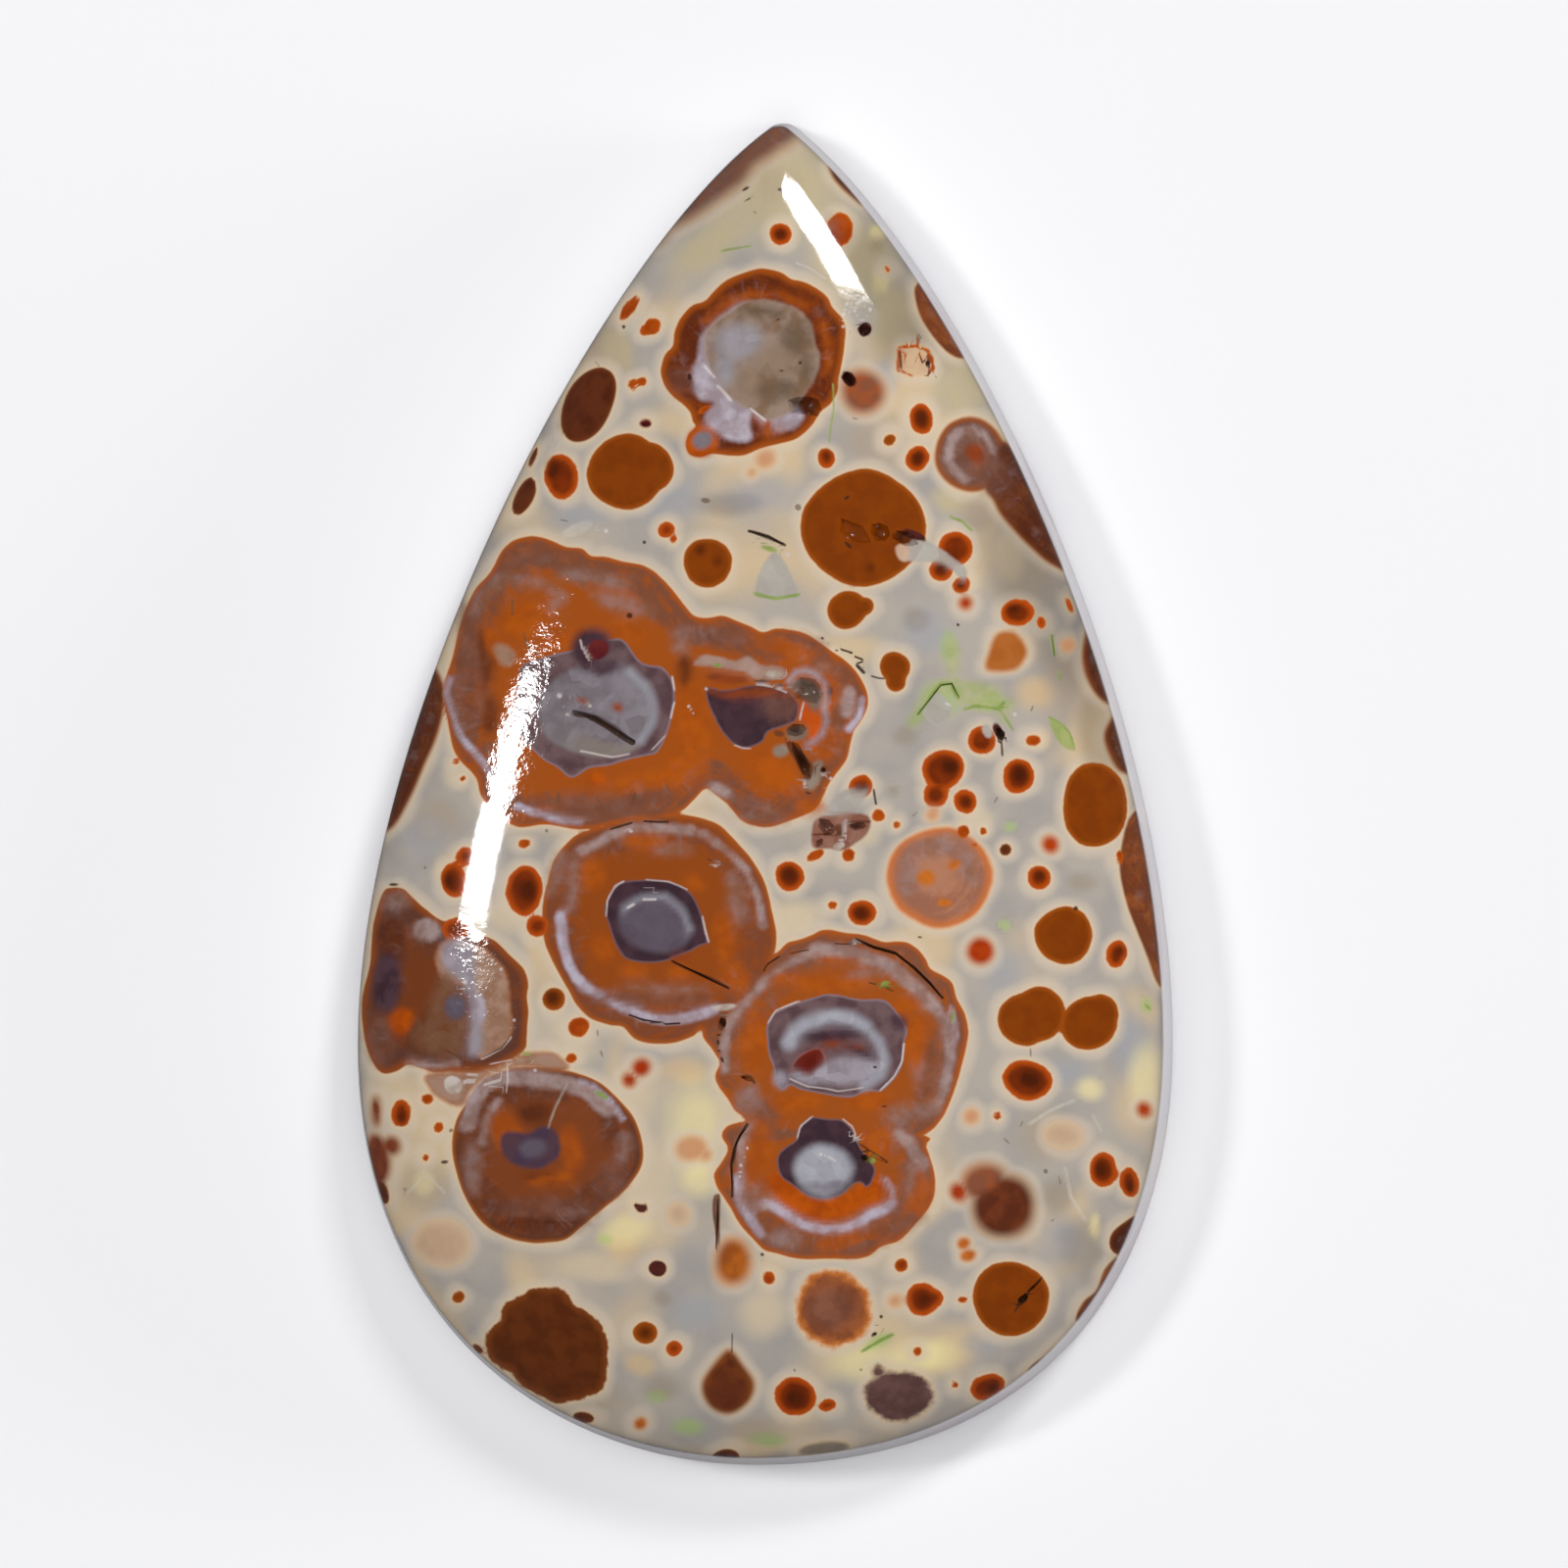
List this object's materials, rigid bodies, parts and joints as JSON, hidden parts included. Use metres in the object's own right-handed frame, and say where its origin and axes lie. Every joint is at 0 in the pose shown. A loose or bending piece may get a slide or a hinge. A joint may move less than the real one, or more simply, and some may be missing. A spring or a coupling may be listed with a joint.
{
  "type": "asteroid jasper cabochon",
  "caption": "Pear-shaped polished stone cabochon, flat on the back and domed on the face, with orb-patterned orange and cream jasper and small open pits.",
  "frame": {"origin": "middle of the stone's length and width, on its flat back", "axes": "+X across the stone to the right, +Y along the stone towards its tip, +Z out of the domed face"},
  "size_m": [0.0262, 0.043, 0.006],
  "materials": {
    "jasper": "polished, slightly translucent orbicular jasper"
  },
  "bodies": {
    "root": {"cabochon": "jasper"}
  },
  "joints": []
}
